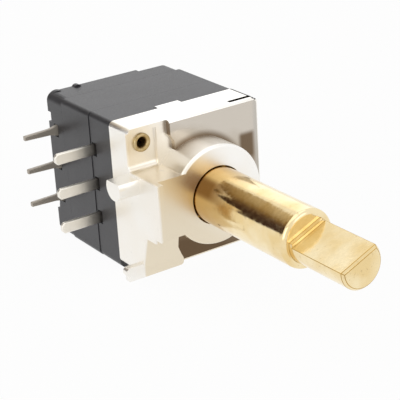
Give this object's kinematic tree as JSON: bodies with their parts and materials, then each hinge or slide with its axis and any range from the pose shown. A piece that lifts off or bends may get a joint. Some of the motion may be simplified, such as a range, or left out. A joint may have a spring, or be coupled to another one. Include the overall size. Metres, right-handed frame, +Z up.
{
  "type": "channel selector rotary switch",
  "caption": "Square rotary code switch with a cast front frame, a collar, a long brass shaft with a flat, stacked black housings and side solder terminals.",
  "frame": {"origin": "on the shaft axis, at the collar's front face", "axes": "-Y out of the panel along the shaft, +X across the front frame away from the terminals, +Z up, square to the board face"},
  "size_m": [0.0134, 0.029, 0.011],
  "materials": {
    "frame_zinc": "nickel-plated die casting, satin",
    "shaft_brass": "turned and lightly polished",
    "housing_plastic": "moulded, fine matte",
    "rotor_plastic": "moulded, natural",
    "disc_plastic": "moulded",
    "terminal_tin": "tin-plated brass",
    "contact_silver": "silver-plated spring bronze",
    "eyelet_brass": "rolled brass",
    "detent_steel": "stamped spring steel"
  },
  "bodies": {
    "body": {"detent_spring": "detent_steel", "front_code_disc": "disc_plastic", "front_frame": "frame_zinc", "front_terminal_lower": "terminal_tin", "front_terminal_middle": "terminal_tin", "front_terminal_upper": "terminal_tin", "front_tracks": "contact_silver", "lower_eyelet": "eyelet_brass", "main_housing": "housing_plastic", "middle_housing": "housing_plastic", "rear_code_disc": "disc_plastic", "rear_cover": "housing_plastic", "rear_terminal_lower": "terminal_tin", "rear_terminal_middle": "terminal_tin", "rear_terminal_upper": "terminal_tin", "rear_tracks": "contact_silver", "thrust_washer": "detent_steel", "upper_eyelet": "eyelet_brass"},
    "shaft": {"shaft": "shaft_brass", "stop_plate": "detent_steel", "detent_wheel": "detent_steel", "front_rotor": "rotor_plastic", "rear_rotor": "rotor_plastic", "front_wiper": "contact_silver", "rear_wiper": "contact_silver"}
  },
  "joints": [
    {"name": "shaft_turn", "type": "hinge", "parent": "body", "child": "shaft", "pos_m": [0, 0, 0], "axis": [0, -1, 0], "range_deg": [-157.5, 180], "deforming": ["detent_spring"]}
  ]
}
